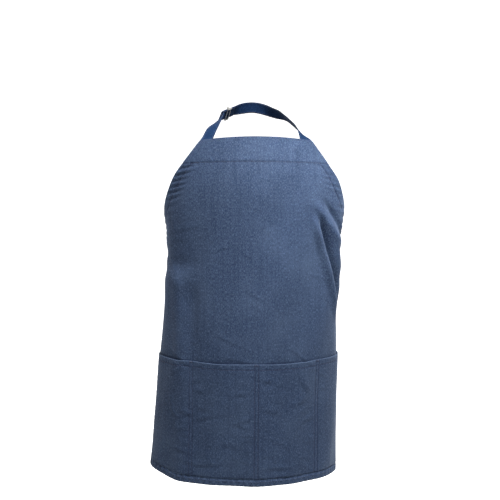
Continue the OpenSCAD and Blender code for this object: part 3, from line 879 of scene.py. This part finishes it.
def smooth(points, t):
    """A Catmull-Rom curve through points, at t from 0 to 1."""
    p = np.asarray(points, float)
    x = np.clip(t, 0, 1) * (len(p) - 1)
    i = np.minimum(x.astype(int), len(p) - 2)
    f = (x - i)[..., None]
    a, b, c, d = p[np.maximum(i - 1, 0)], p[i], p[i + 1], p[np.minimum(i + 2, len(p) - 1)]
    square, cube = 2 * a - 5 * b + 4 * c - d, 3 * b - a - 3 * c + d
    return 0.5 * (2 * b + (c - a) * f + square * f ** 2 + cube * f ** 3)


def route_length(points):
    """The length of the curve through points."""
    p = smooth(points, np.linspace(0, 1, 400))
    return float(np.linalg.norm(np.diff(p, axis=0), axis=1).sum())


def ribbon_where(route, outward, width_of=None, wrinkle=None):
    """Places a strap: u runs across it and v along it, in metres from its first end."""
    length = route_length(route)
    fine = np.linspace(0, 1, 800)
    points = smooth(route, fine)
    walked = np.concatenate([[0], np.cumsum(np.linalg.norm(np.diff(points, axis=0), axis=1))])
    tangents = unit(np.gradient(points, axis=0))
    normals = smooth(outward, fine)
    normals = unit(normals - (normals * tangents).sum(-1, keepdims=True) * tangents)
    across = np.cross(normals, tangents)

    def where(u, v):
        u, v = np.broadcast_arrays(np.asarray(u, float), np.asarray(v, float))

        def pick(values):
            return np.stack([np.interp(v, walked, values[:, k]) for k in range(3)], -1)
        extra = np.minimum(v, 0) + np.maximum(v - length, 0)
        scale = width_of(v / length) if width_of else 1.0
        out = unit(pick(normals))
        point = pick(points) + pick(tangents) * extra[..., None] + pick(across) * (u * scale)[..., None]
        if wrinkle:
            point = point + out * wrinkle(u, v / length)[..., None]
        return point, out
    return where, length


# How far a strap's rows of stitches lie from its middle
EDGE_ROW = STRAP_W / 2 - 0.0025


def strap_shape(where):
    """The strap's place function with its edges beaded by their stitches."""
    def points_of(u, v):
        point, out = where(u, v)
        side = np.abs(u)
        d = -0.00035 * bump(side, EDGE_ROW, 0.0008)
        d = d + 0.00012 * np.sin(2 * np.pi * v / 0.0085 + 2 * np.sin(v * 80)) * bump(side, STRAP_W / 2, 0.004)
        return point + out * d[..., None], out

    def shaped(u, v):
        u, v = np.broadcast_arrays(np.asarray(u, float), np.asarray(v, float))
        point, out = points_of(u, v)
        across = points_of(u + STEP, v)[0] - points_of(u - STEP, v)[0]
        along = points_of(u, v + STEP)[0] - points_of(u, v - STEP)[0]
        true = unit(np.cross(along, across))
        return point, true * np.sign((true * out).sum(-1, keepdims=True))
    return shaped


def strap(name, where, length, nodes, thickness=STRAP_T):
    """A flat sewn strap with a row of stitches along each edge, which comes back as its own piece."""
    shaped = strap_shape(where)
    vs = spread(0, length, PITCH / 2)
    U, V = strip_grid(lambda v: -STRAP_W / 2, lambda v: STRAP_W / 2, vs, PITCH / 2)
    obj = dress(slab(name, shaped, U, V, 0, thickness), STRAP_DENIM)
    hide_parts(*nodes)
    along = between(0.002, length - 0.002)
    rows = [(shaped, constant(side * EDGE_ROW), along, length, n)
            for side in (-1, 1) for n in (thickness + 0.0001, -0.0001)]
    seam = stitches(name + "_stitches", rows)
    return obj, seam


def ride_both(pair, body):
    """A strap and its stitches ride on one body."""
    for obj in pair:
        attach(obj, body)


# Routes in millimetres, with outward directions, on the +X side; flipped() gives the other side's
MM = 0.001
NECK_ROUTE = [(98, -124, -48), (84, -95, -32), (74, -66, -22)]
LEFT_OUTWARD = [(-0.35, -0.8, 0.5), (-0.6, -0.35, 0.7), (-0.75, 0.1, 0.65)]
RIGHT_OUTWARD = [(0.86, -0.42, 0.28), (0.86, -0.15, 0.48), (0.80, 0.1, 0.60)]
NAPE_ROUTE = [(66, -50, -17), (57, -38, -14), (48, -26, -11), (32, -10, -5), (16, -2, -1), (0, 0, 0)]
NAPE_OUTWARD = [(0.78, 0.35, 0.5), (0.8, 0.5, 0.35), (0.75, 0.6, 0.25), (0.45, 0.9, 0.1), (0.2, 1, 0),
                (0, 1, 0)]
SLIDE_FROM = np.array((-66, -50, -17.0))
SLIDE_TO = np.array((-48, -26, -11.0))
SLIDE_MID = (SLIDE_FROM + SLIDE_TO) / 2
SLIDE_DIR = unit(SLIDE_TO - SLIDE_FROM)
SLIDE_FACE = np.array((-0.79, 0.45, 0.4))
SLIDE_OUT = unit(SLIDE_FACE - (SLIDE_FACE @ SLIDE_DIR) * SLIDE_DIR)


def flipped(points):
    """The same points on the other side."""
    return [(-p[0], p[1], p[2]) for p in points]


def root(side):
    """The strap's sewn end behind the bib's hem: points along the armhole, and outward directions there."""
    points, outs = [], []
    for v in (0.050, 0.026, 0.004):
        u = side * (edge_u(v) - 0.0165)
        point, out = cloth(np.array(u), np.array(v))
        points.append(point - out * (HEM_T + 0.0002 + STRAP_T))
        outs.append(out)
    return points, outs


def neck_strap(side, word, route, outward):
    """From behind the bib's hem, over the shoulder; its placement is baked into its mesh."""
    points, outs = root(side)
    points += [np.asarray(p, float) * MM for p in route]
    outs += [np.asarray(o, float) for o in outward]
    where, length = ribbon_where(points, outs)
    pair = strap("neck_strap_" + word, where, length, ["neck_strap_" + word, "strap_end_" + word])
    for obj in pair:
        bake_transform(obj)


def neck_straps():
    """The left strap ends at the slider; the right one runs round the nape and on over the left one."""
    hold = [SLIDE_MID + k * SLIDE_DIR for k in (-30, -22, 0, 22, 30)]
    neck_strap(-1, "left", flipped(NECK_ROUTE) + hold, LEFT_OUTWARD + [SLIDE_OUT] * 5)
    lift = 1.4 * SLIDE_OUT
    over = [SLIDE_MID + k * SLIDE_DIR + lift for k in (30, 22, 0, -24)]
    neck_strap(1, "right", NECK_ROUTE + NAPE_ROUTE + [(-17, -2, -2)] + over,
               RIGHT_OUTWARD + NAPE_OUTWARD + [(-0.25, 1, 0.1)] + [SLIDE_OUT] * 4)


def slider():
    """The CAD slider stays as it is, in plated metal."""
    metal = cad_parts["neck_slider"]
    metal.data.materials.clear()
    metal.data.materials.append(METAL)


KNOT = Vector((0, 0.050, TOP_Z - TIE_V - STRAP_W / 2))
TIE_REACH = 0.480


def tie_where(side):
    """A waist tie: from its sewn end inside the waist corner round the back to the knot."""
    start = HALF_W - 0.034

    def where(u, v):
        u, v = np.broadcast_arrays(np.asarray(u, float), np.asarray(v, float))
        s = start + v
        height = TIE_V + STRAP_W / 2 + u
        point, out = worn(side * s, height)
        free = ease(s, HALF_W + 0.004, HALF_W + 0.06)
        seam = np.clip(side * s, -HALF_W, HALF_W)
        inside = point - out * (HEM_T + STRAP_T + 0.0003)
        loose = point - out * 0.0010
        sag = 0.004 * np.sin(np.pi * ramp(s, HALF_W, TIE_REACH)) ** 2
        twist = 0.0012 * np.sin(40 * s + 1.5 * side) * (u / (STRAP_W / 2)) * free
        base = inside * (1 - free[..., None]) + loose * free[..., None]
        gap = cloth(seam, height)[0] - worn(seam, height)[0]
        base = base + gap * (1 - free[..., None]) + out * twist[..., None]
        base[..., 2] -= sag
        pinch = ease(s, TIE_REACH - 0.03, TIE_REACH)
        base[..., 2] += (KNOT.z - base[..., 2]) * 0.45 * pinch
        return base, out
    return where, TIE_REACH - start


def turned_over(where, side):
    """On the left the strap runs the other way, so its u is reversed to keep its outer face outside."""
    return where if side > 0 else lambda u, v: where(-u, v)


def waist_ties():
    """The ties run from the bib's corners to the tied loop behind the waist."""
    for side, word in ((-1, "left"), (1, "right")):
        where, length = tie_where(side)
        nodes = ["waist_tie_" + word, "tie_end_" + word]
        pair = strap("waist_tie_" + word, turned_over(where, side), length, nodes)
        for obj in pair:
            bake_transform(obj)


def bow_knot():
    """The knot: a wrapped barrel with soft folds round it."""
    lo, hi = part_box("bow_knot")
    half = (hi.x - lo.x) / 2 * 1.04
    radius = (hi.z - lo.z) / 2
    rings, sides = (60, 96) if FINE else (30, 48)
    x = np.linspace(-1, 1, rings)
    a = np.linspace(0, 2 * np.pi, sides, endpoint=False)
    X, A = np.meshgrid(x, a, indexing="ij")
    belly = (1 - np.abs(X) ** 3.2) ** 0.42
    waist = 1 + 0.10 * np.cos(2 * A) - 0.05 * X * np.sin(A)
    crease = 1 + 0.050 * np.sin(7.5 * X + 1.6 * np.sin(A + 0.7))
    crease += 0.022 * np.sin(17 * X - 2.2 * np.sin(A - 0.4))
    lap = 0.07 * ease(X, 0.28, 0.36) - 0.06 * ease(-X, 0.42, 0.50)
    r = radius * belly * waist * (crease + lap) * 0.96
    verts = np.stack([half * X, KNOT.y + 0.95 * r * np.cos(A), KNOT.z + r * np.sin(A)], -1).reshape(-1, 3)
    index = np.arange(rings * sides).reshape(rings, sides)
    nxt = np.roll(index, -1, 1)
    faces = np.stack([index[:-1], nxt[:-1], nxt[1:], index[1:]], -1).reshape(-1, 4).tolist()
    faces.append(index[0].tolist()[::-1])
    faces.append(index[-1].tolist())
    uv = np.stack([half * X, radius * A], -1).reshape(-1, 2)
    obj = dress(make_object("bow_knot", verts, faces, uv), STRAP_DENIM)
    settle(obj, "bow_knot", "waist_loop")


BOW_T = 0.0012
LOOP_ROUTE = [(5, 57, 0), (19, 59, -2), (50, 64, -6), (84, 66, -14), (102, 60, -19), (88, 53, -17),
              (52, 51, -9), (19, 51, -3), (5, 52, 0)]
LOOP_OUTWARD = [(0, 1, 0)] * 3 + [(0.4, 1, 0), (1, 0, 0), (0.2, -1, 0)] + [(0, -1, 0)] * 3
# A tail's route: across, share of its lean, share of its distance from the other tail, push outward, and drop
TAIL_ROUTE = [(2, 0, 0, -0.8, 2), (4, 0, 0.6, -0.6, 17), (9, 0, 0.95, 0, 45), (12, 0, 1, 0, 70),
              (12, 0.2, 1, -0.8, 120), (12, 0.5, 1, 0.6, 180), (12, 0.8, 1, 1.2, 250), (12, 1, 1, 0.5, 999)]
TAIL_OUTWARD = [(x, 1, 0) for x in (0.04, 0.05, 0.03, -0.03, -0.07, 0.0, 0.08, 0.06)]
# Half the distance between the two tails, in millimetres
TAIL_GAP = 1.85


def at_knot(p, side=1):
    """A point given in millimetres from the knot, in metres; its y is measured from the origin."""
    return np.array((side * p[0] * MM, p[1] * MM, KNOT.z + p[2] * MM))


def loop_width(t):
    """A loop's share of its full width: gathered at both ends."""
    return 0.50 + 0.50 * ease(t, 0.05, 0.30) * (1 - ease(t, 0.72, 0.96))


def loop_wrinkle(u, t):
    """Pleats that fan out of the knot."""
    pinch = 1 - ease(t, 0.05, 0.38) * (1 - ease(t, 0.66, 0.96))
    return 0.0008 * pinch * np.cos(2 * np.pi * u / 0.0125) + 0.0005 * np.sin(11 * t + 160 * u)


def bow_loops():
    """The bow's two loops, each a doubled ribbon pinched where it enters the knot."""
    for side, word in ((-1, "left"), (1, "right")):
        route = [at_knot(p, side) for p in LOOP_ROUTE]
        outward = [(side * o[0], o[1], o[2]) for o in LOOP_OUTWARD]
        where, length = ribbon_where(route, outward, loop_width, loop_wrinkle)
        pair = strap("bow_loop_" + word, turned_over(where, side), length, ["bow_loop_" + word], BOW_T)
        ride_both(pair, word + "_loop")


def tail_width(t):
    """A tail's share of its full width: gathered where it leaves the knot."""
    return 0.55 + 0.45 * ease(t, 0.02, 0.16)


def tail_wrinkle(u, t):
    """Pleats below the knot, and a slight wave all the way down."""
    pleats = 0.0007 * (1 - ease(t, 0.03, 0.2)) * np.cos(2 * np.pi * u / 0.0125)
    return pleats + 0.0004 * np.sin(14 * t + 90 * u)


def bow_tails():
    """The two tails, one a little further out than the other so that they pass each other."""
    for side, word, lean in ((-1, "left", 10), (1, "right", 22)):
        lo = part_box("bow_tail_" + word)[0]
        y = lo.y / MM
        end = (KNOT.z - lo.z) / MM - 1
        apart = TAIL_GAP * side
        route = [at_knot((side * (x + lean * leaning), y + apart * share + push, -min(drop, end)))
                 for x, leaning, share, push, drop in TAIL_ROUTE]
        where, length = ribbon_where(route, TAIL_OUTWARD, tail_width, tail_wrinkle)
        ride_both(strap("bow_tail_" + word, where, length, ["bow_tail_" + word], BOW_T), word + "_tail")


# ---- Stage ----

def area_light(name, place, size, power, aim, spread=180):
    """A soft rectangular light aimed at a point; power in watts, spread in degrees."""
    data = bpy.data.lights.new(name, "AREA")
    data.shape = "RECTANGLE"
    data.size, data.size_y = size
    data.energy = power
    data.spread = math.radians(spread)
    light = bpy.data.objects.new(name, data)
    bpy.context.scene.collection.objects.link(light)
    light.location = place
    light.rotation_euler = (Vector(aim) - Vector(place)).to_track_quat("-Z", "Y").to_euler()


FLOOR_Z = -1.45


def pale(name, glow):
    """The plain white of the floor and the backdrop."""
    n = Nodes(name)
    n.shader.inputs["Base Color"].default_value = (0.82, 0.82, 0.82, 1)
    n.shader.inputs["Roughness"].default_value = 0.9
    n.shader.inputs["Emission Color"].default_value = (1, 1, 1, 1)
    n.shader.inputs["Emission Strength"].default_value = glow
    return n.material


def sweep():
    """A pale floor, and behind the apron a backdrop that curves up from it."""
    reach, start, curve, top = 9.0, 1.0, 2.5, 6.0
    profile = [(start, FLOOR_Z)] + [(start + curve * math.sin(a), FLOOR_Z + curve * (1 - math.cos(a)))
                                    for a in np.linspace(0.1, math.pi / 2, 12)] + [(start + curve, top)]
    verts = [(x, y, z) for y, z in profile for x in (-reach, reach)]
    faces = [[2 * k, 2 * k + 1, 2 * k + 3, 2 * k + 2] for k in range(len(profile) - 1)]
    back = make_object("backdrop", np.array(verts, float), faces)
    back.data.materials.append(pale("backdrop", 0.95))
    corners = ((-reach, -reach), (reach, -reach), (reach, start), (-reach, start))
    floor = make_object("floor", np.array([(x, y, FLOOR_Z) for x, y in corners]), [[0, 1, 2, 3]])
    floor.data.materials.append(pale("floor", 0.0))


def stage():
    """Pale surroundings, a key light high on the right, and weaker lights from right, left and behind."""
    scene = bpy.context.scene
    scene.view_settings.view_transform = "Standard"
    world = bpy.data.worlds.new("world")
    scene.world = world
    world.use_nodes = True
    world.node_tree.nodes["Background"].inputs[0].default_value = (1, 1, 1, 1)
    world.node_tree.nodes["Background"].inputs[1].default_value = 0.10
    sweep()
    area_light("key", (0.58, -1.12, 2.30), (0.8, 0.8), 52, (0.02, -0.15, -0.05), 80)
    area_light("fill", (1.3, -2.3, 1.1), (0.3, 0.3), 0.70, (0.175, -0.15, -0.155), 13)
    area_light("side", (-1.5, -0.5, 0.7), (0.7, 0.7), 0.9, (-0.19, -0.11, -0.16), 30)
    area_light("back", (-0.6, 1.9, 0.6), (1.4, 1.4), 15, (0, 0.0, -0.4))


add_camera()
main_cloth(hems())
for k in range(4):
    pocket(k)
band_strips()
stitch_rows()
neck_straps()
slider()
waist_ties()
bow_knot()
bow_loops()
bow_tails()
stage()
